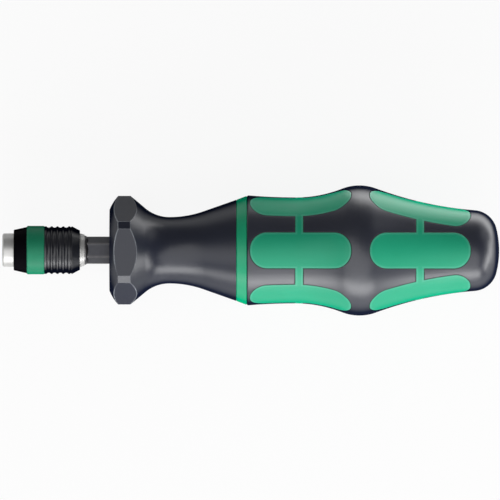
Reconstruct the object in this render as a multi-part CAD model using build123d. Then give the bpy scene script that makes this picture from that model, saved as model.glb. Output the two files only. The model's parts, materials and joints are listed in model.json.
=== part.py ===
from build123d import *
import math
import os

# A torque screwdriver with a preset slipping clutch in its handle and a quick-release chuck for
# quarter-inch hexagon bits. Millimetres. Every piece is drawn on the tool's own axis, which is +X,
# from the mouth of the bit socket at x = 0 to the end of the handle. The last section lays the tool
# down as it comes to rest on a bench, on one flat of its collar and on the bulge of its handle.

# Gaps that the fits leave, on the radius or on one side
running_gap = 0.03
guide_gap = 0.06
free_gap = 0.3

# Where the middle of a spring's wire starts inside its ground end, as a share of the wire
ground_share = 0.1

# Hexagon drive: the standard bit, and the shank of the chuck, which is a cut of the same bar
bit_flats = 6.35
bit_play = 0.05
shank_in_chuck = 7.0
shank_showing = 6.7
shank_in_spindle = 13.9
shank_collar_step = 0.25
shank_collar_width = 0.35
shank_collar_taper = 0.65

# Chuck body: a turned steel tube with a hexagon hole right through it
body_wall = 0.78
body_length = 22.2
body_edge = 0.35
body_tail_length = 1.0
mouth_edge = 0.45
magnet_inset = 0.17
magnet_thickness = 1.5

# Locking ball, in a hole through the wall of the chuck body
ball_radius = 1.0
ball_x = 5.0
ball_bite = 0.5
ball_release = 0.55
sleeve_travel = 2.2

# Chuck sleeve: a cone in front, a coloured ring, and a ribbed grip that tapers at its rear
sleeve_setback = 3.05
cone_length = 3.55
cone_lip = 0.9
cone_shoulder = 0.3
stop_lip_width = 0.5
ring_seat_wall = 0.57
colour_ring_width = 4.75
colour_ring_wall = 0.59
colour_ring_edge = 0.2
spigot_wall = 0.33
spigot_length = 1.6
grip_length = 9.55
grip_wall = 0.72
grip_taper_length = 2.1
grip_taper_drop = 1.1
groove_count = 4
groove_pitch = 1.57
groove_width = 1.2
groove_depth = 0.33
first_groove = 1.15
notch_width = 0.4
notch_depth = 0.2
notch_from_taper = 0.32

# Spring of the chuck sleeve, between a circlip on the body and a washer against the sleeve
sleeve_spring_wire = 0.6
sleeve_spring_gap = 0.2
sleeve_spring_turns = 3.4
sleeve_spring_length = 4.4
chamber_gap = 0.08
washer_thickness = 0.5
body_clip_width = 0.5
body_clip_depth = 0.35
clip_opening = 2.4

# Front shell of the handle: a hexagonal collar that stops the tool rolling, then a waist
collar_flats = 26.46
collar_corners = 29.26
collar_face_radius = 10.95
collar_nose_length = 3.4
collar_nose_rise = 4.75
collar_nose_crown = 0.36
collar_flank_crown = 0.03
waist_from_face = 16.2
waist_radius = 8.97
waist_front_bend = 10.2
waist_front_angle = 39.5
waist_rear_bend = 27.5
flare_angle = 19.4
shell_length = 34.2
shell_lip = 1.0

# Main handle: neck, bulge, tail and a domed end
accent_width = 2.9
accent_edge = 0.2
handle_length = 68.1
handle_front_step = 0.2
handle_front_edge = 0.4
neck_from_front = 13.1
neck_radius = 14.3
crest_from_front = 30.35
crest_radius = 17.58
crest_bend = 12.85
tail_radius = 10.67
tail_slope = 2.04
tail_corner = 6.5
dome_radius = 24.7
grip_turn = 2.5

# Soft pads let into the handle, six round it in two rows, each row joined by a narrow band
pad_count = 6
pad_width = 9.72
pad_corner = 4.6
pad_depth = 1.2
front_pad_start = 0.8
pad_row_gap = 5.0
rear_pad_start = 33.1
rear_pad_from_end = 7.8
front_band_offset = -0.375
rear_band_offset = -0.025
band_width = 2.15

# Output spindle and its two bushes
spindle_wall = 1.33
spindle_setback = 0.55
bush_wall = 1.77
bush_lip = 0.5
front_bush_length = 7.0
rear_bush_wall = 1.57
rear_bush_flange = 0.5
rear_bush_rim = 1.9
spindle_clip_width = 1.0
spindle_clip_depth = 0.4
spindle_clip_height = 1.3
spindle_flange_width = 2.2
stub_wall = 0.15
stub_overrun = 0.2
pin_radius = 1.0
pin_from_shank_end = 2.9

# Clutch housing: a cup that holds the clutch, and carries the front shell on its spigot
spigot_seat_radius = 9.5
spigot_seat_length = 6.2
housing_radius = 10.6
housing_wall = 1.7
housing_front_wall = 0.4
slot_count = 3
slot_width = 3.0
slot_depth = 0.85

# Clutch: a cam with pockets, balls in a cage that can't turn, and a plate that a spring pushes
thrust_washer_thickness = 1.0
cam_thickness = 4.0
clutch_ball_radius = 2.0
clutch_ball_count = 6
pocket_count = 12
pocket_depth = 0.6
cage_rim = 0.7
cage_web = 0.6
cage_thickness = 2.5
cage_gap = 0.4
plate_thickness = 3.0
boss_height = 1.5
boss_gap = 0.2

# Main spring, the seat that loads it and the screw that sets the torque
spring_wire = 2.2
spring_wall_gap = 0.9
spring_turns = 5.6
spring_length = 17.1
seat_thickness = 4.5
seat_advance = 2.0
seat_return = 1.5
screw_radius = 3.0
thread_spare = 2.0
screw_flange_rim = 1.8
screw_flange_width = 1.0
screw_tail = 1.5
screw_key_flats = 3.0
screw_key_depth = 3.0
cap_thickness = 3.5
spanner_hole_radius = 0.8
spanner_hole_circle = 6.0

# Plug over the way in to the torque screw
access_gap = 1.2
plug_rim = 0.8
plug_head_height = 5.0
plug_stem_length = 4.0

# Radii that follow, outwards from the bit to the skin of the chuck sleeve
hexagon_ratio = 1 / math.cos(math.radians(30))
bar_corner = bit_flats / 2 * hexagon_ratio
socket_flats = bit_flats + 2 * bit_play
socket_corner = socket_flats / 2 * hexagon_ratio
body_radius = socket_corner + body_wall
sleeve_bore = body_radius + guide_gap
sleeve_spring_radius = body_radius + sleeve_spring_gap + sleeve_spring_wire / 2
chamber_radius = sleeve_spring_radius + sleeve_spring_wire / 2 + chamber_gap
spigot_radius = chamber_radius + spigot_wall
colour_ring_seat = chamber_radius + ring_seat_wall
grip_radius = spigot_radius + grip_wall

# The locking ball bites into the bit's space, and the sleeve's ramp rises over its crown
ball_centre_radius = socket_flats / 2 - ball_bite + ball_radius
ramp_slope = ball_release / sleeve_travel

# Radii that follow inside the handle
spindle_radius = bar_corner + spindle_wall
spindle_bore = spindle_radius + running_gap
bush_radius = spindle_bore + bush_wall
rear_bush_radius = spindle_bore + rear_bush_wall
cavity_radius = housing_radius - housing_wall
cam_radius = cavity_radius - free_gap
ball_circle_radius = cavity_radius - cage_rim - clutch_ball_radius
cage_bore_radius = ball_circle_radius - clutch_ball_radius - cage_web
pocket_radius = math.sqrt(clutch_ball_radius**2 - (clutch_ball_radius - pocket_depth) ** 2)
stub_flats = 2 * (ball_circle_radius - pocket_radius - stub_wall) / hexagon_ratio
spring_radius = cavity_radius - spring_wall_gap - spring_wire / 2
boss_radius = spring_radius - spring_wire / 2 - boss_gap
access_radius = screw_radius + access_gap
plug_head_radius = access_radius + plug_rim

# Stations along the axis that follow, from the mouth to the end of the handle
cone_end = sleeve_setback + cone_length
ring_end = cone_end + colour_ring_width
sleeve_end = ring_end + grip_length
shank_front = body_length - shank_in_chuck
ramp_end = ball_x + sleeve_travel + running_gap
ball_pocket_end = ball_x + sleeve_travel + ball_radius
body_clip_x = ball_pocket_end + stop_lip_width
body_clip_end = body_clip_x + body_clip_width
washer_front = body_clip_end + sleeve_spring_length
shell_front = body_length + shank_showing
spindle_front = shell_front + spindle_setback
shank_end = spindle_front + shank_in_spindle
pin_x = shank_end - pin_from_shank_end
waist_x = shell_front + waist_from_face
shell_end = shell_front + shell_length
bush_front = shell_front + shell_lip
bush_end = bush_front + front_bush_length
handle_front = shell_end + accent_width
neck_x = handle_front + neck_from_front
crest_x = handle_front + crest_from_front
handle_end = handle_front + handle_length
housing_front = shell_end - spigot_seat_length
shell_step = housing_front - rear_bush_flange
spindle_flange_end = shell_step - running_gap
cavity_front = handle_front + housing_front_wall
cam_front = cavity_front + thrust_washer_thickness
cam_rear = cam_front + cam_thickness
clutch_ball_x = cam_rear - pocket_depth + clutch_ball_radius
plate_front = clutch_ball_x + clutch_ball_radius + running_gap
plate_rear = plate_front + plate_thickness
seat_front = plate_rear + spring_length
seat_rear = seat_front + seat_thickness
screw_flange_front = seat_rear + seat_return + free_gap
screw_flange_end = screw_flange_front + screw_flange_width
cap_front = screw_flange_end + running_gap
housing_end = cap_front + cap_thickness
plug_seat = handle_end - plug_head_height


def turned(*edges):
    """A solid of revolution about the tool's axis, from the edges of half its section."""
    return revolve(make_face(edges), Axis.X)


def turned_corners(*corners):
    """A solid of revolution whose half section has straight sides between these corners."""
    return turned(Polyline(*corners, close=True))


def rod(start, end, radius):
    return turned_corners((start, 0), (end, 0), (end, radius), (start, radius))


def tube(start, end, outer, inner):
    return turned_corners((start, inner), (end, inner), (end, outer), (start, outer))


def hexagon(start, end, flats, turn=0.0):
    """A hexagonal bar on the axis, with one pair of flats level, turned about the axis."""
    section = Plane.YZ * RegularPolygon(flats / 2, 6, major_radius=False)
    return Rot(turn, 0, 0) * Pos(start, 0, 0) * extrude(section, end - start, dir=(1, 0, 0))


def cross_bar(x, radius, low, high):
    """A round bar across the axis at x, from height low to height high."""
    bar = Cylinder(radius, high - low, align=(Align.CENTER, Align.CENTER, Align.MIN))
    return Pos(x, 0, low) * bar


def around(shape, count):
    """Copies of a shape, evenly spaced round the axis."""
    return [Rot(360.0 * k / count, 0, 0) * shape for k in range(count)]


def circlip(start, width, inner, outer):
    """A retaining ring with its opening at the top."""
    opening = Box(2 * width, clip_opening, outer, align=(Align.CENTER, Align.CENTER, Align.MIN))
    return tube(start, start + width, outer, inner) - Pos(start + width / 2, 0, 0) * opening


def coil_spring(start, length, radius, wire, turns):
    """A compression spring, its ends ground flat through about half the wire."""
    inset = ground_share * wire
    first = (start + inset, 0, 0)
    path = Helix(length / turns, length - 2 * inset, radius, center=first, direction=(1, 0, 0))
    coil = sweep(Plane(path @ 0, z_dir=path % 0) * Circle(wire / 2), path=path, is_frenet=True)
    return coil & rod(start, start + length, radius + wire)


# Chuck


def ramp_radius(x):
    """The radius of the ramp inside the sleeve's cone, just clear of the locking ball."""
    over_ball = ball_centre_radius + (ball_radius + running_gap) * math.hypot(1, ramp_slope)
    return over_ball + ramp_slope * (x - ball_x)


def chuck_body():
    blank = turned_corners(
        (0, 0),
        (0, body_radius - body_edge),
        (body_edge, body_radius),
        (body_length - body_tail_length, body_radius),
        (body_length, body_radius - body_edge),
        (body_length, 0),
    )
    mouth = turned_corners(
        (0, 0),
        (0, socket_corner + mouth_edge / 4),
        (2 * mouth_edge, socket_corner - mouth_edge),
        (2 * mouth_edge, 0),
    )
    seat = Pos(ball_x, 0, -ball_centre_radius) * Sphere(ball_radius + running_gap)
    hole = cross_bar(ball_x, ball_radius + running_gap, -2 * body_radius, -ball_centre_radius)
    groove = tube(body_clip_x, body_clip_end, 2 * body_radius, body_radius - body_clip_depth)
    socket = hexagon(-1, shank_front, socket_flats)
    shank_hole = hexagon(shank_front, body_length + 1, bit_flats)
    return blank - socket - shank_hole - mouth - seat - hole - groove


def locking_ball():
    return Pos(ball_x, 0, -ball_centre_radius) * Sphere(ball_radius)


def bit_magnet():
    return rod(shank_front - magnet_thickness, shank_front, bit_flats / 2 - magnet_inset)


def hex_shank():
    """The blackened bar between chuck and spindle, with a low collar against the chuck."""
    collar_radius = bar_corner + shank_collar_step
    collar_end = body_length + shank_collar_width
    collar = turned_corners(
        (body_length, 0),
        (body_length, collar_radius),
        (collar_end, collar_radius),
        (collar_end + shank_collar_taper, bit_flats / 2),
        (collar_end + shank_collar_taper, 0),
    )
    bar = hexagon(shank_front, shank_end, bit_flats) + collar
    return bar - cross_bar(pin_x, pin_radius, -bit_flats, bit_flats)


def body_circlip():
    groove_radius = body_radius - body_clip_depth
    return circlip(body_clip_x, body_clip_width, groove_radius, chamber_radius - 2 * chamber_gap)


def sleeve_spring():
    radius, wire = sleeve_spring_radius, sleeve_spring_wire
    return coil_spring(body_clip_end, sleeve_spring_length, radius, wire, sleeve_spring_turns)


def spring_washer():
    washer_end = washer_front + washer_thickness
    return tube(washer_front, washer_end, chamber_radius - chamber_gap, sleeve_bore)


def sleeve_cone():
    """The black cone in front. Its ramp presses the ball in, its lip stops against the circlip,
    and its spigot carries the coloured ring and fits into the grip."""
    ramp_start = ball_x - (ramp_radius(ball_x) - sleeve_bore) / ramp_slope
    return turned_corners(
        (sleeve_setback, sleeve_bore),
        (ramp_start, sleeve_bore),
        (ramp_end, ramp_radius(ramp_end)),
        (ball_pocket_end, ramp_radius(ramp_end)),
        (ball_pocket_end, sleeve_bore),
        (body_clip_x, sleeve_bore),
        (body_clip_x, chamber_radius),
        (ring_end + spigot_length, chamber_radius),
        (ring_end + spigot_length, spigot_radius),
        (ring_end, spigot_radius),
        (ring_end, colour_ring_seat),
        (cone_end, colour_ring_seat),
        (cone_end, colour_ring_seat + cone_shoulder),
        (sleeve_setback, sleeve_bore + cone_lip),
    )


def colour_ring():
    outer = colour_ring_seat + colour_ring_wall
    return turned_corners(
        (cone_end, colour_ring_seat),
        (ring_end, colour_ring_seat),
        (ring_end, outer - colour_ring_edge),
        (ring_end - colour_ring_edge, outer),
        (cone_end + colour_ring_edge, outer),
        (cone_end, outer - colour_ring_edge),
    )


def grip_sleeve():
    """The ribbed rear of the chuck sleeve: rounded grooves, a fine notch, then a taper."""
    shoulder = washer_front + washer_thickness
    spigot_end = ring_end + spigot_length
    taper_start = sleeve_end - grip_taper_length
    centres = [ring_end + first_groove + k * groove_pitch for k in range(groove_count)]
    grooves = [(centre, groove_width, groove_depth) for centre in centres]
    grooves.append((taper_start - notch_from_taper, notch_width, notch_depth))
    edges = [
        Polyline(
            (ring_end, grip_radius),
            (ring_end, spigot_radius),
            (spigot_end, spigot_radius),
            (spigot_end, chamber_radius),
            (shoulder, chamber_radius),
            (shoulder, sleeve_bore),
            (sleeve_end, sleeve_bore),
            (sleeve_end, grip_radius - grip_taper_drop),
            (taper_start, grip_radius),
        )
    ]
    last = (taper_start, grip_radius)
    for centre, width, depth in reversed(grooves):
        rear, front = (centre + width / 2, grip_radius), (centre - width / 2, grip_radius)
        edges.append(Line(last, rear))
        edges.append(ThreePointArc(rear, (centre, grip_radius - depth), front))
        last = front
    edges.append(Line(last, (ring_end, grip_radius)))
    return turned(*edges)


# Front shell and main handle


def flare_radius(x):
    """The outline behind the waist: a straight flare that starts where the rear bend ends."""
    angle = math.radians(flare_angle)
    bend_end = waist_x + waist_rear_bend * math.sin(angle)
    bend_radius = waist_radius + waist_rear_bend * (1 - math.cos(angle))
    return bend_radius + (x - bend_end) * math.tan(angle)


def collar_nose():
    """The arc in front of the collar, and the point in its length where it ends."""
    face_edge = (shell_front, collar_face_radius)
    nose_top = (shell_front + collar_nose_length, collar_face_radius + collar_nose_rise)
    return SagittaArc(nose_top, face_edge, -collar_nose_crown)


def front_shell():
    angle, flare = math.radians(waist_front_angle), math.radians(flare_angle)
    front_bend = (
        waist_x - waist_front_bend * math.sin(angle),
        waist_radius + waist_front_bend * (1 - math.cos(angle)),
    )
    rear_bend = (
        waist_x + waist_rear_bend * math.sin(flare),
        waist_radius + waist_rear_bend * (1 - math.cos(flare)),
    )
    nose = collar_nose()
    nose_top, face_edge = nose @ 0, nose @ 1
    collar_rear = (front_bend[0] - (nose_top.Y - front_bend[1]) / math.tan(angle), nose_top.Y)
    waist = (waist_x, waist_radius)
    blank = turned(
        Polyline(
            face_edge,
            (shell_front, spindle_bore + free_gap),
            (bush_front, spindle_bore + free_gap),
            (bush_front, bush_radius),
            (shell_step, bush_radius),
            (shell_step, spigot_seat_radius),
            (shell_end, spigot_seat_radius),
            (shell_end, flare_radius(shell_end)),
            rear_bend,
        ),
        TangentArc(waist, rear_bend, tangent=(1, 0)),
        TangentArc(waist, front_bend, tangent=(-1, 0)),
        SagittaArc(front_bend, collar_rear, -collar_flank_crown),
        Line(collar_rear, nose_top),
        nose,
    )
    collar = hexagon(shell_front - 1, waist_x, collar_flats)
    collar &= hexagon(shell_front - 1, waist_x, collar_corners, turn=30)
    return blank - (tube(shell_front - 1, waist_x, 2 * nose_top.Y, spindle_bore) - collar)


def accent_ring():
    front, rear = flare_radius(shell_end), flare_radius(handle_front)
    return turned_corners(
        (shell_end, spigot_seat_radius),
        (handle_front, spigot_seat_radius),
        (handle_front, rear - accent_edge),
        (handle_front - accent_edge, rear),
        (shell_end + accent_edge, front + accent_edge * math.tan(math.radians(flare_angle))),
        (shell_end, front - accent_edge),
    )


def bulge_bends():
    """The angles at which the arc over the bulge meets the hollow before it and the one behind.

    Both hollows are arcs too, and all three meet smoothly, so the angles follow from where the
    neck, the crest and the tail lie."""
    across, up = crest_x - neck_x, crest_radius - neck_radius
    rise = math.asin(across / ((across**2 + up**2) / (2 * up)))
    dome_sag = dome_radius - math.sqrt(dome_radius**2 - tail_radius**2)
    along = handle_end - dome_sag - crest_x
    down = crest_radius - crest_bend - tail_radius
    slope = math.radians(tail_slope)
    reach = along * math.sin(slope) - down * math.cos(slope)
    hollow = (along**2 + down**2 - crest_bend**2) / (2 * (crest_bend - reach))
    fall = math.atan2(along + hollow * math.sin(slope), hollow * math.cos(slope) - down)
    return rise, fall


def handle_section(inset):
    """Half the section of the main handle, or of a body that lies inset below its surface."""
    rise, fall = bulge_bends()
    crest = crest_bend - inset
    neck = (neck_x, neck_radius - inset)
    top = (crest_x, crest_radius - inset)
    rise_end = (crest_x - crest * math.sin(rise), top[1] - crest * (1 - math.cos(rise)))
    fall_start = (crest_x + crest * math.sin(fall), top[1] - crest * (1 - math.cos(fall)))
    dome = dome_radius - inset
    tail = tail_radius - inset
    dome_sag = dome - math.sqrt(dome**2 - tail**2)
    tip = (handle_end - inset, 0)
    shoulder = (tip[0] - dome_sag, tail)
    front = (handle_front, flare_radius(handle_front) + handle_front_step - inset)
    outline = make_face(
        [
            Line((handle_front, 0), front),
            TangentArc(neck, front, tangent=(-1, 0)),
            TangentArc(neck, rise_end, tangent=(1, 0)),
            TangentArc(top, rise_end, tangent=(-1, 0)),
            TangentArc(top, fall_start, tangent=(1, 0)),
            TangentArc(fall_start, shoulder, tangent=(math.cos(fall), -math.sin(fall))),
            TangentArc(tip, shoulder, tangent=(0, 1)),
            Line(tip, (handle_front, 0)),
        ]
    )
    outline = fillet(outline.vertices().sort_by_distance(Vector(*shoulder))[0], tail_corner - inset)
    return fillet(outline.vertices().sort_by_distance(Vector(*front))[0], handle_front_edge)


def pad_cutter(start, end, band_offset):
    """The space of one row of pads and of the band that joins them, from the axis outwards."""
    reach = 2 * crest_radius
    middle = (start + end) / 2
    pad = extrude(Pos(middle, 0, 0) * RectangleRounded(end - start, pad_width, pad_corner), reach)
    band_middle = middle + band_offset
    band = rod(band_middle - band_width / 2, band_middle + band_width / 2, reach)
    return band.fuse(*around(pad, pad_count))


def handle_blank():
    return revolve(handle_section(0), Axis.X)


def soft_pads(start, end, band_offset):
    """Pads of soft plastic, flush with the handle, moulded in one piece with their band."""
    skin = handle_blank() - revolve(handle_section(pad_depth), Axis.X)
    return skin & pad_cutter(start, end, band_offset)


def front_soft_pads():
    end = handle_front + rear_pad_start - pad_row_gap
    return soft_pads(handle_front + front_pad_start, end, front_band_offset)


def rear_soft_pads():
    end = handle_end - rear_pad_from_end
    return soft_pads(handle_front + rear_pad_start, end, rear_band_offset)


def handle_core():
    """The hard plastic handle, bored for the clutch housing and for the key of the torque screw."""
    return (
        handle_blank()
        - front_soft_pads()
        - rear_soft_pads()
        - rod(handle_front - 1, housing_end, housing_radius)
        - rod(housing_end, handle_end, access_radius)
        - rod(plug_seat, handle_end + 1, plug_head_radius)
    )


def end_plug():
    head = handle_blank() & rod(plug_seat, handle_end + 1, plug_head_radius)
    return head + rod(plug_seat - plug_stem_length, plug_seat, access_radius)


# Spindle and its bushes


def output_spindle():
    clip_start = bush_end + running_gap
    clip_end = clip_start + spindle_clip_width
    flange_start = spindle_flange_end - spindle_flange_width
    blank = turned_corners(
        (spindle_front, 0),
        (spindle_front, spindle_radius),
        (clip_start, spindle_radius),
        (clip_start, spindle_radius - spindle_clip_depth),
        (clip_end, spindle_radius - spindle_clip_depth),
        (clip_end, spindle_radius),
        (flange_start, spindle_radius),
        (flange_start, bush_radius - free_gap),
        (spindle_flange_end, bush_radius - free_gap),
        (spindle_flange_end, spindle_radius),
        (cam_front, spindle_radius),
        (cam_front, 0),
    )
    stub = hexagon(cam_front, cam_rear + stub_overrun, stub_flats)
    pin_hole = cross_bar(pin_x, pin_radius, -2 * spindle_radius, 2 * spindle_radius)
    return blank + stub - hexagon(spindle_front - 1, shank_end, bit_flats) - pin_hole


def cross_pin():
    """The pin that holds the shank in the spindle, its ends just under the spindle's skin."""
    pin = cross_bar(pin_x, pin_radius, -spindle_radius, spindle_radius)
    return pin & rod(spindle_front, cam_front, spindle_radius - guide_gap)


def front_bush():
    return tube(bush_front, bush_end, bush_radius, spindle_bore)


def spindle_circlip():
    groove_radius = spindle_radius - spindle_clip_depth
    clip_start = bush_end + running_gap
    return circlip(clip_start, spindle_clip_width, groove_radius, spindle_radius + spindle_clip_height)


def rear_bush():
    flange_radius = rear_bush_radius + rear_bush_rim
    return turned_corners(
        (shell_step, spindle_bore),
        (cavity_front, spindle_bore),
        (cavity_front, rear_bush_radius),
        (housing_front, rear_bush_radius),
        (housing_front, flange_radius),
        (shell_step, flange_radius),
    )


# Clutch


def clutch_housing():
    """A cup with a spigot in front, and with slots down its wall for the cage and the seat."""
    blank = turned_corners(
        (housing_front, rear_bush_radius),
        (cavity_front, rear_bush_radius),
        (cavity_front, cavity_radius),
        (housing_end, cavity_radius),
        (housing_end, housing_radius),
        (handle_front, housing_radius),
        (handle_front, spigot_seat_radius),
        (housing_front, spigot_seat_radius),
    )
    slot_reach = cavity_radius + slot_depth
    start_corner = (Align.MIN, Align.CENTER, Align.MIN)
    slot = Box(cap_front - cam_rear, slot_width, slot_reach, align=start_corner)
    return blank - around(Pos(cam_rear, 0, 0) * slot, slot_count)


def slotted_disc(start, end):
    """A disc that slides in the housing, with lugs in its slots so that it can't turn."""
    reach = cavity_radius + slot_depth - guide_gap
    lug = Box(end - start, slot_width - 2 * guide_gap, reach, align=(Align.MIN, Align.CENTER, Align.MIN))
    disc = rod(start, end, cavity_radius - guide_gap)
    return disc.fuse(*around(Pos(start, 0, 0) * lug, slot_count))


def thrust_washer():
    return tube(cavity_front, cam_front, cam_radius, spindle_bore)


def drive_cam():
    """The disc that the spindle turns, with a ring of pockets for the balls in its rear face."""
    pocket = Pos(clutch_ball_x, 0, ball_circle_radius) * Sphere(clutch_ball_radius + running_gap)
    disc = rod(cam_front, cam_rear, cam_radius)
    return disc - hexagon(cam_front - 1, cam_rear + 1, stub_flats) - around(pocket, pocket_count)


def clutch_balls():
    ball = Pos(clutch_ball_x, 0, ball_circle_radius) * Sphere(clutch_ball_radius)
    return Compound(around(ball, clutch_ball_count))


def ball_cage():
    front = cam_rear + cage_gap
    rear = front + cage_thickness
    drill = Rot(0, 90, 0) * Cylinder(clutch_ball_radius + guide_gap, 2 * cage_thickness)
    hole = Pos((front + rear) / 2, 0, ball_circle_radius) * drill
    bore = rod(front - 1, rear + 1, cage_bore_radius)
    return slotted_disc(front, rear) - bore - around(hole, clutch_ball_count)


def pressure_plate():
    """The disc behind the balls, with a boss that centres the main spring."""
    return turned_corners(
        (plate_front, cage_bore_radius),
        (plate_rear + boss_height, cage_bore_radius),
        (plate_rear + boss_height, boss_radius),
        (plate_rear, boss_radius),
        (plate_rear, cavity_radius - guide_gap),
        (plate_front, cavity_radius - guide_gap),
    )


def main_spring():
    return coil_spring(plate_rear, spring_length, spring_radius, spring_wire, spring_turns)


def spring_seat():
    """The nut that the torque screw draws along the housing to load the main spring."""
    boss = rod(seat_front - boss_height, seat_front, boss_radius)
    thread = rod(seat_front - 2 * boss_height, seat_rear + 1, screw_radius + running_gap)
    return slotted_disc(seat_front, seat_rear) + boss - thread


def torque_screw():
    tip = seat_front - seat_advance - thread_spare
    tail = housing_end + screw_tail
    flange_radius = screw_radius + screw_flange_rim
    blank = turned_corners(
        (tip, 0),
        (tip, screw_radius),
        (screw_flange_front, screw_radius),
        (screw_flange_front, flange_radius),
        (screw_flange_end, flange_radius),
        (screw_flange_end, screw_radius),
        (tail, screw_radius),
        (tail, 0),
    )
    return blank - hexagon(tail - screw_key_depth, tail + 1, screw_key_flats)


def housing_cap():
    """The cap that closes the housing and bears the screw's flange, with two spanner holes."""
    ring = tube(cap_front, housing_end, cavity_radius, screw_radius + running_gap)
    hole = rod(cap_front - 1, housing_end + 1, spanner_hole_radius)
    return ring - [Pos(0, side * spanner_hole_circle, 0) * hole for side in (-1, 1)]


# Rest pose: the tool leans on the front edge of the collar's lowest flat and on the bulge


def rest_tilt():
    """The angle that brings the collar's flat and the bulge to the same level, in degrees."""
    nose = collar_nose()
    flat_reach = collar_flats / 2
    steps = [nose @ (k / 500) for k in range(501)]
    edge = min(steps, key=lambda point: abs(point.Y - flat_reach))
    lean_x, lean_y = crest_x - edge.X, crest_radius - crest_bend - flat_reach
    return math.degrees(math.atan2(lean_y, lean_x) + math.asin(crest_bend / math.hypot(lean_x, lean_y)))


outer_pieces = [front_shell, accent_ring, handle_core, front_soft_pads, rear_soft_pads, end_plug]
chuck_pieces = [
    chuck_body, bit_magnet, hex_shank, locking_ball, body_circlip, sleeve_spring, spring_washer,
    sleeve_cone, colour_ring, grip_sleeve,
]
drive_pieces = [output_spindle, cross_pin, spindle_circlip, front_bush, rear_bush, drive_cam, thrust_washer]
clutch_pieces = [
    clutch_housing, clutch_balls, ball_cage, pressure_plate, main_spring, spring_seat, torque_screw,
    housing_cap,
]

# The collar lies on a flat, and the rest of the tool is clocked a little about the axis from it
lean = Rot(0, -rest_tilt(), 0)
shapes = {}
for maker in outer_pieces + chuck_pieces + drive_pieces + clutch_pieces:
    clocking = 0.0 if maker is front_shell else -grip_turn
    shapes[maker.__name__] = lean * Rot(clocking, 0, 0) * maker()

box = Compound(list(shapes.values())).bounding_box()
place = Pos(-box.center().X, 0, -box.min.Z)

os.makedirs("parts", exist_ok=True)
for name, shape in shapes.items():
    export_step(place * shape, f"parts/{name}.step")
print("tilt", rest_tilt(), "mouth of the socket", (place * lean).position, "size", box.size)
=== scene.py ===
import json
import math

import bmesh
import bpy
from mathutils import Matrix, Vector


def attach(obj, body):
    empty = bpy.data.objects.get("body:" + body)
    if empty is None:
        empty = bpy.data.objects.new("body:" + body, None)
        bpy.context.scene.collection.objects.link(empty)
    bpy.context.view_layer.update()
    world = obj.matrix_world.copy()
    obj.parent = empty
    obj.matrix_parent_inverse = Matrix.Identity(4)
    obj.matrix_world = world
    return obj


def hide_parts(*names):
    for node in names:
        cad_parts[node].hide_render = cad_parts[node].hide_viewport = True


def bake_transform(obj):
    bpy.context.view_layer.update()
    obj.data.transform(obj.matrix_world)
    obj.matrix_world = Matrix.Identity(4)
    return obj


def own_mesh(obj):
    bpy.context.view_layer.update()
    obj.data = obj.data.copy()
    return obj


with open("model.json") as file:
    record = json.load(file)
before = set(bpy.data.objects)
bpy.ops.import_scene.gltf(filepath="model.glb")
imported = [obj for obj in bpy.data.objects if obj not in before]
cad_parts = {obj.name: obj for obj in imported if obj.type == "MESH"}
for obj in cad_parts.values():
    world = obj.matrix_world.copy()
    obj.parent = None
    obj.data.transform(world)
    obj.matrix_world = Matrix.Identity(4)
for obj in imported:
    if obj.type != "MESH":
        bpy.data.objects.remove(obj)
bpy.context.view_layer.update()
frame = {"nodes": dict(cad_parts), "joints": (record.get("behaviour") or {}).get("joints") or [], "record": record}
nodes = frame["nodes"]
record = frame["record"]

# The tool's own axes in the shared frame: along runs from the mouth of the bit socket to the end
# of the handle, rise points out through the middle of the uppermost pad, and side completes them
grip_turn = math.radians(2.5)
socket = next(m for m in record["mounts"] if m["name"] == "bit_socket")
mouth = Vector(socket["pos_m"])
along = -Vector(socket["axis"]).normalized()
upright = Vector((0, 0, 1)) - along * along.z
upright.normalize()
level = upright.cross(along)
rise = upright * math.cos(grip_turn) + level * math.sin(grip_turn)
side = rise.cross(along)


def on_tool(x, across=0.0, out=0.0):
    """A point of the tool, in millimetres along its axis, to the side and out towards the top."""
    return mouth + (along * x + side * across + rise * out) / 1000


def placed(name, data):
    """A new object in the scene, at the origin until it is moved."""
    made = bpy.data.objects.new(name, data)
    bpy.context.scene.collection.objects.link(made)
    return made


# Nodes of materials and of the world


class Value:
    """What a node's socket gives. Sums written on it add Math nodes."""

    def __init__(self, tree, socket):
        self.tree, self.socket = tree, socket

    def maths(self, operation, *terms):
        inputs = dict(enumerate((self, *terms)))
        return self.tree.add("ShaderNodeMath", {"operation": operation}, inputs)

    def reversed(self, operation, term):
        return self.tree.add("ShaderNodeMath", {"operation": operation}, {0: term, 1: self})

    def __add__(self, other):
        return self.maths("ADD", other)

    def __radd__(self, other):
        return self.reversed("ADD", other)

    def __sub__(self, other):
        return self.maths("SUBTRACT", other)

    def __rsub__(self, other):
        return self.reversed("SUBTRACT", other)

    def __mul__(self, other):
        return self.maths("MULTIPLY", other)

    def __rmul__(self, other):
        return self.reversed("MULTIPLY", other)

    def __truediv__(self, other):
        return self.maths("DIVIDE", other)

    def __neg__(self):
        return self.maths("MULTIPLY", -1.0)

    def __abs__(self):
        return self.maths("ABSOLUTE")

    def least(self, other):
        return self.maths("MINIMUM", other)

    def most(self, other):
        return self.maths("MAXIMUM", other)

    def ramp(self, low, high):
        """0 at low and below, 1 at high and above, and smooth between them."""
        inputs = {"Value": self, "From Min": low, "From Max": high}
        return self.tree.add("ShaderNodeMapRange", {"interpolation_type": "SMOOTHSTEP"}, inputs)


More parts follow.
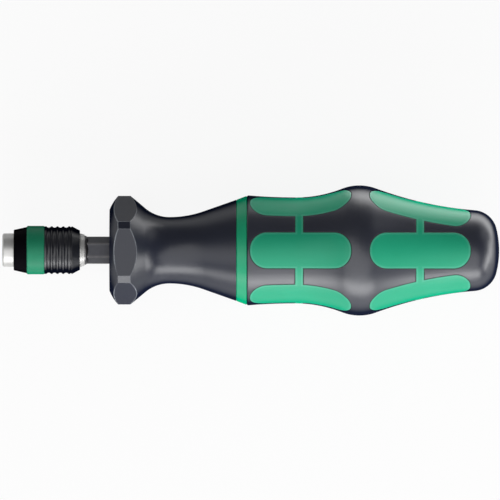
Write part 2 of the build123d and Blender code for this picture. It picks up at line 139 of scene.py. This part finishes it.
class Tree:
    """The nodes of a material or of the world, written as sums on their values."""

    def __init__(self, owner):
        owner.use_nodes = True
        self.nodes, self.links = owner.node_tree.nodes, owner.node_tree.links
        self.nodes.clear()

    def add(self, kind, settings=None, inputs=None, output=0):
        """Adds a node: first its settings, then the values or the links of its sockets."""
        node = self.nodes.new(kind)
        for name, value in (settings or {}).items():
            setattr(node, name, value)
        for name, value in (inputs or {}).items():
            socket = self.pick(node.inputs, name)
            if isinstance(value, Value):
                self.links.new(value.socket, socket)
            else:
                socket.default_value = value
        return Value(self, self.pick(node.outputs, output)) if node.outputs else None

    def pick(self, sockets, name):
        if isinstance(name, int):
            return sockets[name]
        return next(s for s in sockets if s.name == name and s.enabled)

    def vector(self, operation, first, second, output="Vector"):
        settings = {"operation": operation}
        return self.add("ShaderNodeVectorMath", settings, {0: first, 1: second}, output)

    def joined(self, x, y, z):
        return self.add("ShaderNodeCombineXYZ", None, {"X": x, "Y": y, "Z": z})

    def ray(self, kind):
        """1 for a ray of this kind, and 0 for any other."""
        return self.add("ShaderNodeLightPath", output=f"Is {kind} Ray")

    def seen(self):
        """1 for what the camera sees, also through something clear, and 0 for anything else."""
        return self.ray("Camera").most(self.ray("Transmission"))

    def mirrored(self, share):
        """This share for what a glossy surface mirrors, and 0 for anything else."""
        return self.ray("Glossy") * share


class Finish(Tree):
    """A procedural material on the tool, which knows where a point lies along and round it."""

    # How far the rounded normal leans from the true one where an edge starts, and at its full
    edge_bend = (0.004, 0.035)

    def __init__(self, name):
        self.material = bpy.data.materials.new(name)
        super().__init__(self.material)
        point = self.add("ShaderNodeTexCoord", output="Object")
        local = self.vector("SUBTRACT", point, mouth)
        self.along = self.vector("DOT_PRODUCT", local, along * 1000, "Value")
        self.across = self.vector("DOT_PRODUCT", local, side * 1000, "Value")
        self.out = self.vector("DOT_PRODUCT", local, rise * 1000, "Value")
        self.radius = (self.across * self.across + self.out * self.out).maths("SQRT")

    def turn(self):
        """The angle round the axis, in radians."""
        return self.across.maths("ARCTAN2", self.out)

    def noise(self, size, detail, at=None):
        """Noise from 0 to 1 with grains of this size in millimetres."""
        place = at or self.joined(self.along, self.across, self.out)
        inputs = {"Vector": place, "Scale": 1 / size, "Detail": detail}
        return self.add("ShaderNodeTexNoise", None, inputs, "Fac")

    def turning(self, width, detail):
        """Noise in rings round the axis, as the lathe leaves it, of this width in millimetres."""
        return self.noise(width, detail, self.joined(self.along, self.radius, 0.0))

    def edge(self, reach):
        """0 on an open face, and up to 1 within this reach, in millimetres, of an edge."""
        rounded = self.add("ShaderNodeBevel", {"samples": 8}, {"Radius": reach / 1000})
        true = self.add("ShaderNodeNewGeometry", output="True Normal")
        bend = 1 - self.vector("DOT_PRODUCT", rounded, true, "Value")
        return bend.ramp(*self.edge_bend)

    def colour(self, factor, first, second):
        """One colour at factor 0 and the other at factor 1."""
        inputs = {"Factor": factor, "A": first, "B": second}
        return self.add("ShaderNodeMix", {"data_type": "RGBA"}, inputs, "Result")

    def shade(self, height, rounding=0.0, matt_edge=None, **sockets):
        """Ends the material in its shader, over a relief whose height is in millimetres, as is the
        rounding of its edges. The gloss goes between the two slants of matt_edge, of which 0 faces
        the eye and 1 is edge-on."""
        inputs = {name.replace("_", " "): value for name, value in sockets.items()}
        relief = {"Height": height, "Distance": 0.001}
        if rounding:
            bevel = {"Radius": rounding / 1000}
            relief["Normal"] = self.add("ShaderNodeBevel", {"samples": 6}, bevel)
        inputs["Normal"] = self.add("ShaderNodeBump", None, relief)
        shader = self.add("ShaderNodeBsdfPrincipled", None, inputs)
        if matt_edge:
            slant = self.add("ShaderNodeLayerWeight", None, {"Blend": 0.5}, "Facing")
            matt_inputs = {**inputs, "Specular IOR Level": 0.0}
            matt = self.add("ShaderNodeBsdfPrincipled", None, matt_inputs)
            shares = {0: slant.ramp(*matt_edge), 1: shader, 2: matt}
            shader = self.add("ShaderNodeMixShader", None, shares)
        self.add("ShaderNodeOutputMaterial", None, {"Surface": shader})
        return self.material


def rgb(red, green, blue):
    return (red, green, blue, 1.0)


# Slants between which the gloss of plastic, of a soft pad and of the sleeve's coat goes
plastic_edge = (0.4, 0.72)
pad_edge = (0.5, 0.78)
sleeve_edge = (0.28, 0.52)

# Sizes and places on the tool, in millimetres, from the mouth of the socket or from the axis
collar_end = 38.5
pad_rows = ((66.8, 94.1), (99.1, 126.3))
bands = (80.075, 112.675)
pad_half_width = 4.86
pad_corner = 4.6
band_half_width = 1.075
bar_half_flats = 3.35
bar_corners = 3.66
thread_pitch = 1.0
thread_depth = 0.45
thread_starts_in = (2.8, 2.9)
thread_ends_out = (3.05, 3.15)


def pad_distance(finish):
    """How far a point is from the edge of the nearest pad or band, less than 0 inside one."""
    turn = finish.turn()
    sixth = math.pi / 3
    folded = turn - (turn / sixth).maths("ROUND") * sixth
    beside = abs(folded.maths("SINE") * finish.radius) - (pad_half_width - pad_corner)
    distance = None
    for (start, end), band in zip(pad_rows, bands):
        half = (end - start) / 2 - pad_corner
        lengthways = abs(finish.along - (start + end) / 2) - half
        past_end, past_side = lengthways.most(0), beside.most(0)
        outer = (past_end * past_end + past_side * past_side).maths("SQRT")
        pad = outer + lengthways.most(beside).least(0) - pad_corner
        strip = abs(finish.along - band) - band_half_width
        row = pad.least(strip)
        distance = row if distance is None else distance.least(row)
    return distance


# Finishes


def black_plastic(finish, cloud):
    """The colour of the hard black plastic, a little uneven."""
    return finish.colour(cloud, rgb(0.006, 0.009, 0.022), rgb(0.009, 0.012, 0.028))


def handle_plastic():
    """Hard black plastic with a satin gloss, finely eroded, with a shut line round each pad."""
    f = Finish("handle_plastic")
    seam = 1 - pad_distance(f).ramp(0.08, 0.3)
    cloud = f.noise(9.0, 3)
    base = f.colour(seam * 0.8, black_plastic(f, cloud), rgb(0.0, 0.009, 0.006))
    rough = 0.33 + cloud * 0.05 + seam * 0.5
    height = f.noise(0.16, 3) * 0.0035 - seam * 0.015
    return f.shade(
        height, 0.22, plastic_edge, Base_Color=base, Roughness=rough, Specular_IOR_Level=1.0
    )


def shell_plastic():
    """The same plastic with less gloss. The collar's edges carry a patchy, pale painted highlight."""
    f = Finish("shell_plastic")
    cloud = f.noise(9.0, 3)
    on_collar = 1 - f.along.ramp(collar_end, collar_end + 1)
    # Painted highlight: pale grey, patchy colour along the collar's edges, where a rounded edge would catch a
    # glint
    painted_edge_glint = f.edge(0.45) * on_collar * cloud.ramp(0.25, 0.75)
    base = f.colour(painted_edge_glint, black_plastic(f, cloud), rgb(0.36, 0.39, 0.43))
    rough = 0.3 + cloud * 0.05
    height = f.noise(0.16, 3) * 0.0035
    return f.shade(
        height, 0.22, plastic_edge, Base_Color=base, Roughness=rough, Specular_IOR_Level=0.72
    )


def pad_rubber():
    """Soft green plastic, a little grained, with a painted highlight in a paler band along its rim,
    and darker where it meets the hard handle."""
    f = Finish("pad_rubber")
    inside = -pad_distance(f)
    edge = 1 - inside.ramp(0.0, 0.14)
    rim = (1 - edge) * (1 - inside.ramp(0.3, 0.75))
    grain = f.noise(0.22, 3)
    cloud = f.noise(6.0, 3)
    base = f.colour(cloud, rgb(0.0, 0.325, 0.17), rgb(0.004, 0.36, 0.195))
    # Painted highlight: a paler green band just inside the rim, where the rounded edge would catch light
    base = f.colour(rim * 0.5, base, rgb(0.06, 0.42, 0.27))
    base = f.colour(edge * 0.7, base, rgb(0.0, 0.1, 0.055))
    rough = 0.4 + cloud * 0.06 + grain * 0.04
    height = grain * 0.006 - edge * edge * 0.03
    return f.shade(
        height, 0.2, pad_edge, Base_Color=base, Roughness=rough, Specular_IOR_Level=0.5
    )


def ring_plastic():
    """The hard green plastic of the ring between waist and handle."""
    f = Finish("ring_plastic")
    cloud = f.noise(5.0, 3)
    base = f.colour(cloud, rgb(0.0, 0.34, 0.16), rgb(0.003, 0.38, 0.18))
    rough = 0.33 + cloud * 0.06
    height = f.noise(0.2, 3) * 0.003
    return f.shade(
        height, 0.15, plastic_edge, Base_Color=base, Roughness=rough, Specular_IOR_Level=0.6
    )


def sleeve_black():
    """Turned metal with a black coat."""
    f = Finish("sleeve_black")
    turning = f.turning(0.09, 2)
    cloud = f.noise(2.5, 3)
    base = f.colour(cloud, rgb(0.001, 0.002, 0.006), rgb(0.003, 0.004, 0.01))
    rough = 0.29 + cloud * 0.08 + turning * 0.06
    height = turning * 0.004
    return f.shade(
        height, 0.1, sleeve_edge, Base_Color=base, Roughness=rough, Specular_IOR_Level=0.8
    )


def cone_black():
    """The same coat on the sleeve's cone, dull and quite without shine."""
    f = Finish("cone_black")
    turning = f.turning(0.09, 2)
    base = f.colour(f.noise(2.5, 3), rgb(0.001, 0.001, 0.002), rgb(0.003, 0.002, 0.004))
    rough = 0.6 + turning * 0.1
    height = turning * 0.004
    return f.shade(
        height, 0.1, plastic_edge, Base_Color=base, Roughness=rough, Specular_IOR_Level=0.03
    )


def sleeve_green():
    """The green coat of the sleeve's ring."""
    f = Finish("sleeve_green")
    cloud = f.noise(2.0, 3)
    base = f.colour(cloud, rgb(0.008, 0.205, 0.105), rgb(0.014, 0.24, 0.125))
    rough = 0.42 + cloud * 0.06
    height = f.turning(0.12, 2) * 0.003
    return f.shade(
        height, 0.12, plastic_edge, Base_Color=base, Roughness=rough, Specular_IOR_Level=0.25
    )


def turned_steel(name, shade, roughness, metallic=1.0):
    """Steel off the lathe: fine rings round the axis, on a face as on the barrel."""
    f = Finish(name)
    turning = f.turning(0.07, 3)
    cloud = f.noise(1.8, 3)
    dark = rgb(shade * 0.86, shade * 0.86, shade * 0.85)
    base = f.colour(cloud, dark, rgb(shade, shade * 0.99, shade * 0.97))
    rough = roughness + turning * 0.09 + cloud * 0.05
    return f.shade(turning * 0.005, 0.08, Base_Color=base, Roughness=rough, Metallic=metallic)


def blacked_steel():
    """Drawn hexagon bar, blacked: fine lines lie along it, and its corners are worn lighter."""
    f = Finish("blacked_steel")
    lines = f.noise(0.1, 3, f.joined(f.along * 0.05, f.across, f.out))
    cloud = f.noise(1.5, 3)
    corner = f.radius.ramp(bar_half_flats, bar_corners)
    base = f.colour(cloud, rgb(0.055, 0.056, 0.065), rgb(0.08, 0.081, 0.091))
    base = f.colour(corner * (0.1 + cloud * 0.3), base, rgb(0.24, 0.23, 0.225))
    rough = 0.3 + cloud * 0.1 + lines * 0.08
    return f.shade(lines * 0.003, 0.1, Base_Color=base, Roughness=rough, Metallic=0.85)


def screw_steel():
    """Steel with a right-handed thread cut on the screw's barrel, and no thread on its flange."""
    f = Finish("screw_steel")
    turning = f.turning(0.07, 3)
    turns = f.along / thread_pitch + f.turn() / (2 * math.pi)
    barrel = f.radius.ramp(*thread_starts_in) * (1 - f.radius.ramp(*thread_ends_out))
    thread = abs(turns.maths("FRACT") - 0.5) * 2 * barrel
    # Painted shade: the colour follows the thread's depth, darker down in its roots than on its crests
    base = f.colour(thread, rgb(0.4, 0.4, 0.39), rgb(0.56, 0.56, 0.55))
    rough = 0.26 + turning * 0.09
    height = thread * thread_depth + turning * 0.004
    return f.shade(height, 0.08, Base_Color=base, Roughness=rough, Metallic=1.0)


def ball_steel():
    """Hardened and polished balls."""
    f = Finish("ball_steel")
    cloud = f.noise(0.8, 3)
    base = f.colour(cloud, rgb(0.72, 0.72, 0.73), rgb(0.8, 0.8, 0.8))
    rough = 0.1 + cloud * 0.06
    return f.shade(cloud * 0.001, Base_Color=base, Roughness=rough, Metallic=1.0)


def bush_bronze():
    """Sintered bronze, open-pored and a little oily."""
    f = Finish("bush_bronze")
    pores = f.noise(0.25, 4)
    base = f.colour(pores.ramp(0.35, 0.6), rgb(0.2, 0.11, 0.04), rgb(0.58, 0.38, 0.18))
    rough = 0.3 + pores * 0.15
    return f.shade(pores * 0.02, 0.08, Base_Color=base, Roughness=rough, Metallic=1.0)


def magnet_nickel():
    """The nickel plating of the magnet."""
    f = Finish("magnet_nickel")
    cloud = f.noise(1.2, 3)
    base = f.colour(cloud, rgb(0.55, 0.53, 0.5), rgb(0.68, 0.66, 0.62))
    rough = 0.2 + cloud * 0.1
    return f.shade(cloud * 0.002, 0.1, Base_Color=base, Roughness=rough, Metallic=1.0)


finishes = {
    "hard_black": handle_plastic(),
    "soft_green": pad_rubber(),
    "ring_green": ring_plastic(),
    "sleeve_black": sleeve_black(),
    "sleeve_ring_green": sleeve_green(),
    "bright_steel": turned_steel("bright_steel", 0.64, 0.32, 0.55),
    "black_steel": blacked_steel(),
    "plain_steel": turned_steel("plain_steel", 0.55, 0.26),
    "spring_steel": turned_steel("spring_steel", 0.32, 0.3),
    "ball_steel": ball_steel(),
    "bronze": bush_bronze(),
    "magnet": magnet_nickel(),
}
own_finishes = {
    "front_shell": shell_plastic(),
    "sleeve_cone": cone_black(),
    "torque_screw": screw_steel(),
}

for part in record["subparts"]:
    node = part["node"]
    finish = own_finishes.get(node, finishes[part["material_slot"]])
    nodes[node].material_slots[0].material = finish

# Springs, copied from the CAD nodes. The main spring is cut in two at its split, which is in
# millimetres behind its front end
release = next(j for j in frame["joints"] if j["name"] == "sleeve_release")
coil_travel = release["range_m"][1] * 1000
main_coil_split = 4.2
wire_fold = math.radians(40)


def stations(node):
    """Where a node starts and ends along the tool, in millimetres from the mouth."""
    places = [(v.co - mouth).dot(along) * 1000 for v in nodes[node].data.vertices]
    return min(places), max(places)


def spring_piece(name, node, front=None, rear=None):
    """A copy of a CAD spring, or of its stretch behind or before a station, that stands for it."""
    bm = bmesh.new()
    bm.from_mesh(nodes[node].data)
    bmesh.ops.remove_doubles(bm, verts=bm.verts, dist=1e-7)
    for station, outwards in ((front, -along), (rear, along)):
        if station is None:
            continue
        everything = [*bm.verts, *bm.edges, *bm.faces]
        cut = bmesh.ops.bisect_plane(
            bm, geom=everything, plane_co=on_tool(station), plane_no=outwards, clear_outer=True
        )
        rim = [e for e in cut["geom_cut"] if isinstance(e, bmesh.types.BMEdge)]
        cap = bmesh.ops.edgeloop_fill(bm, edges=rim)
        bmesh.ops.triangulate(bm, faces=cap["faces"])
    bmesh.ops.recalc_face_normals(bm, faces=bm.faces)
    mesh = bpy.data.meshes.new(name)
    bm.to_mesh(mesh)
    bm.free()
    mesh.shade_smooth()
    mesh.set_sharp_from_angle(angle=wire_fold)
    mesh.materials.clear()
    mesh.materials.append(finishes["spring_steel"])
    piece = placed(name, mesh)
    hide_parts(node)
    return piece


coil_front, coil_rear = stations("sleeve_spring")
coil = spring_piece("sleeve_coil", "sleeve_spring")
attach(coil, "drive")
# What is left of its length when the sleeve is fully forward
left = 1 - coil_travel / (coil_rear - coil_front)
on_tool(coil_front)
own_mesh(coil)

main_front, main_rear = stations("main_spring")
still = main_front + main_coil_split
plate_part = spring_piece("main_coil_front", "main_spring", rear=still)
on_tool(main_front)
on_tool(still)
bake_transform(plate_part)
seat_part = spring_piece("main_coil_rear", "main_spring", front=still)
on_tool(still)
on_tool(main_rear)
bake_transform(seat_part)

# Camera: above the tool, square to the pad that lies uppermost, through a long lens. The middle
# of its view is in millimetres along the tool and to its side, and its width in metres
view_width = 0.135
view_middle = (66.83, 0.095)
camera_roll = Matrix.Rotation(math.radians(0.065), 4, "Z")
camera_data = bpy.data.cameras.new("camera")
camera_data.lens = 1500.0
camera_data.clip_end = 20.0
camera = placed("camera", camera_data)
distance = view_width * camera_data.lens / camera_data.sensor_width
stand = Matrix.Translation(on_tool(*view_middle, distance * 1000))
camera.matrix_world = stand @ Matrix((along, side, rise)).transposed().to_4x4() @ camera_roll
bpy.context.scene.camera = camera


def lamp(name, place, size, radiance, aim=(0.0, 0.0, 0.0)):
    """A soft box of this width and height in metres, which faces its aim."""
    data = bpy.data.lights.new(name, "AREA")
    data.shape, data.size, data.size_y = "RECTANGLE", *size
    data.energy = radiance * math.pi * size[0] * size[1]
    light = placed(name, data)
    light.location = place
    light.rotation_mode = "QUATERNION"
    light.rotation_quaternion = (Vector(place) - Vector(aim)).to_track_quat("Z", "Y")
    light.visible_camera = False


lamp("near_box", (-0.02, -0.57, 0.23), (0.80, 0.27), 5.2)
lamp("top_box", (-0.2, -0.30, 0.85), (1.5, 1.0), 1.3)
lamp("far_box", (0.50, 0.42, 0.25), (0.3, 0.3), 0.5)
lamp("end_box", (0.56, -0.26, 0.2), (0.34, 0.2), 6.0)
lamp("tail_box", (0.14, 0.0, 0.034), (0.05, 0.036), 4.0, (0.065, 0.0, 0.024))
lamp("far_strip", (0.13, 0.12, 0.001), (0.22, 0.20), 2.8, (0.13, 0.12, 1.0))


def room(strength, mirrored_share):
    """An even grey room, white where it is seen and a little paler where it is mirrored."""
    world = bpy.data.worlds.new("room")
    bpy.context.scene.world = world
    tree = Tree(world)
    share = tree.seen().most(tree.mirrored(mirrored_share))
    level = share * (1.0 - strength) + strength
    back = tree.add("ShaderNodeBackground", None, {"Color": rgb(1, 1, 1), "Strength": level})
    tree.add("ShaderNodeOutputWorld", None, {"Surface": back})


def floor(reach, white_share, mirrored_share):
    """A pale floor under the tool, whiter where it is seen, which keeps the tool's shadow. It is
    clear from below, so that the underside can be looked at."""
    mesh = bpy.data.meshes.new("floor")
    corners = [(-reach, -reach, 0), (reach, -reach, 0), (reach, reach, 0), (-reach, reach, 0)]
    mesh.from_pydata(corners, [], [(0, 1, 2, 3)])
    material = bpy.data.materials.new("floor_card")
    tree = Tree(material)
    card = tree.add("ShaderNodeBsdfDiffuse", None, {"Color": rgb(0.78, 0.78, 0.78)})
    white = tree.add("ShaderNodeEmission", None, {"Strength": 1.0})
    share = (tree.seen() * white_share).most(tree.mirrored(mirrored_share))
    top = tree.add("ShaderNodeMixShader", None, {0: share, 1: card, 2: white})
    below = tree.add("ShaderNodeNewGeometry", output="Backfacing")
    clear = tree.add("ShaderNodeBsdfTransparent")
    both = tree.add("ShaderNodeMixShader", None, {0: below, 1: top, 2: clear})
    tree.add("ShaderNodeOutputMaterial", None, {"Surface": both})
    mesh.materials.append(material)
    card_object = placed("floor", mesh)


room(0.11, 0.05)
floor(6.0, 0.9, 0.15)
bpy.context.scene.view_settings.view_transform = "Standard"
